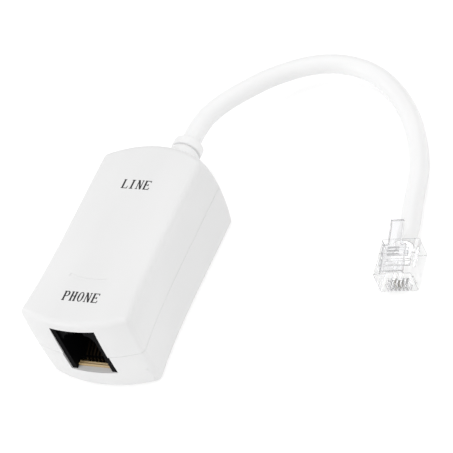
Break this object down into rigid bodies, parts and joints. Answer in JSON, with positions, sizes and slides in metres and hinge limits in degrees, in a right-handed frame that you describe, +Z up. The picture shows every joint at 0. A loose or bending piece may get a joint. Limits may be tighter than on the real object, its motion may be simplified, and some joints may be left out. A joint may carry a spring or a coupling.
{
  "type": "in-line telephone line filter",
  "caption": "Small white two-shell box with a black modular phone socket in one end, and a short round cord with a clear modular plug at the other.",
  "frame": {"origin": "on the supporting surface, under the middle of the box (the cord and its strain relief are not counted)", "axes": "+Z up; -Y points out of the phone socket; +Y is the end that the line cord leaves; the plug lies on the +X side"},
  "size_m": [0.0873, 0.1063, 0.0236],
  "materials": {
    "white_abs": "fine satin moulded ABS",
    "white_vinyl": "smooth soft vinyl",
    "black_plastic": "moulded black thermoplastic",
    "amber_board": "phenolic paper board",
    "gold_wire": "gold-flashed phosphor bronze",
    "tinned_wire": "tinned copper",
    "solder": "bright solder",
    "copper_enamel": "enamelled copper wire",
    "ferrite": "sintered ferrite",
    "film_red": "epoxy-dipped film capacitor",
    "ceramic_tan": "dipped ceramic disc",
    "resistor_body": "lacquered carbon film",
    "core_red": "insulated core",
    "core_green": "insulated core",
    "core_white": "insulated core",
    "clear_plastic": "clear polycarbonate"
  },
  "bodies": {
    "root": {"top_shell": "white_abs", "bottom_shell": "white_abs", "jack_housing": "black_plastic", "jack_contact_comb": "amber_board", "jack_contact_tails": "gold_wire", "circuit_board": "amber_board", "component_leads": "tinned_wire", "solder_joints": "solder", "choke_1_bobbin": "black_plastic", "choke_1_winding": "copper_enamel", "choke_1_core": "ferrite", "choke_2_bobbin": "black_plastic", "choke_2_winding": "copper_enamel", "choke_2_core": "ferrite", "film_capacitor_1": "film_red", "film_capacitor_2": "film_red", "ceramic_capacitor": "ceramic_tan", "resistor_1": "resistor_body", "resistor_2": "resistor_body", "cable_grommet": "white_vinyl", "cord_sheath_inner": "white_vinyl", "line_cord": "white_vinyl", "conductor_red": "core_red", "conductor_green": "core_green", "plug_body": "clear_plastic", "plug_cord_end": "white_vinyl", "plug_contacts": "gold_wire", "plug_conductors": "core_white"},
    "plug_latch_body": {"plug_latch": "clear_plastic"},
    "jack_springs": {"jack_contact_springs": "gold_wire"}
  },
  "joints": [
    {"name": "plug_latch_press", "type": "hinge", "parent": "root", "child": "plug_latch_body", "pos_m": [0.06703, 0.008, 0.00717], "axis": [0.99, 0.1409, 0], "range_deg": [-14, 0], "stiffness_Nm_per_rad": 0.05},
    {"name": "jack_spring_press", "type": "hinge", "parent": "root", "child": "jack_springs", "pos_m": [0, -0.0263, 0.0079], "axis": [1, 0, 0], "range_deg": [-10, 0], "stiffness_Nm_per_rad": 0.05}
  ]
}
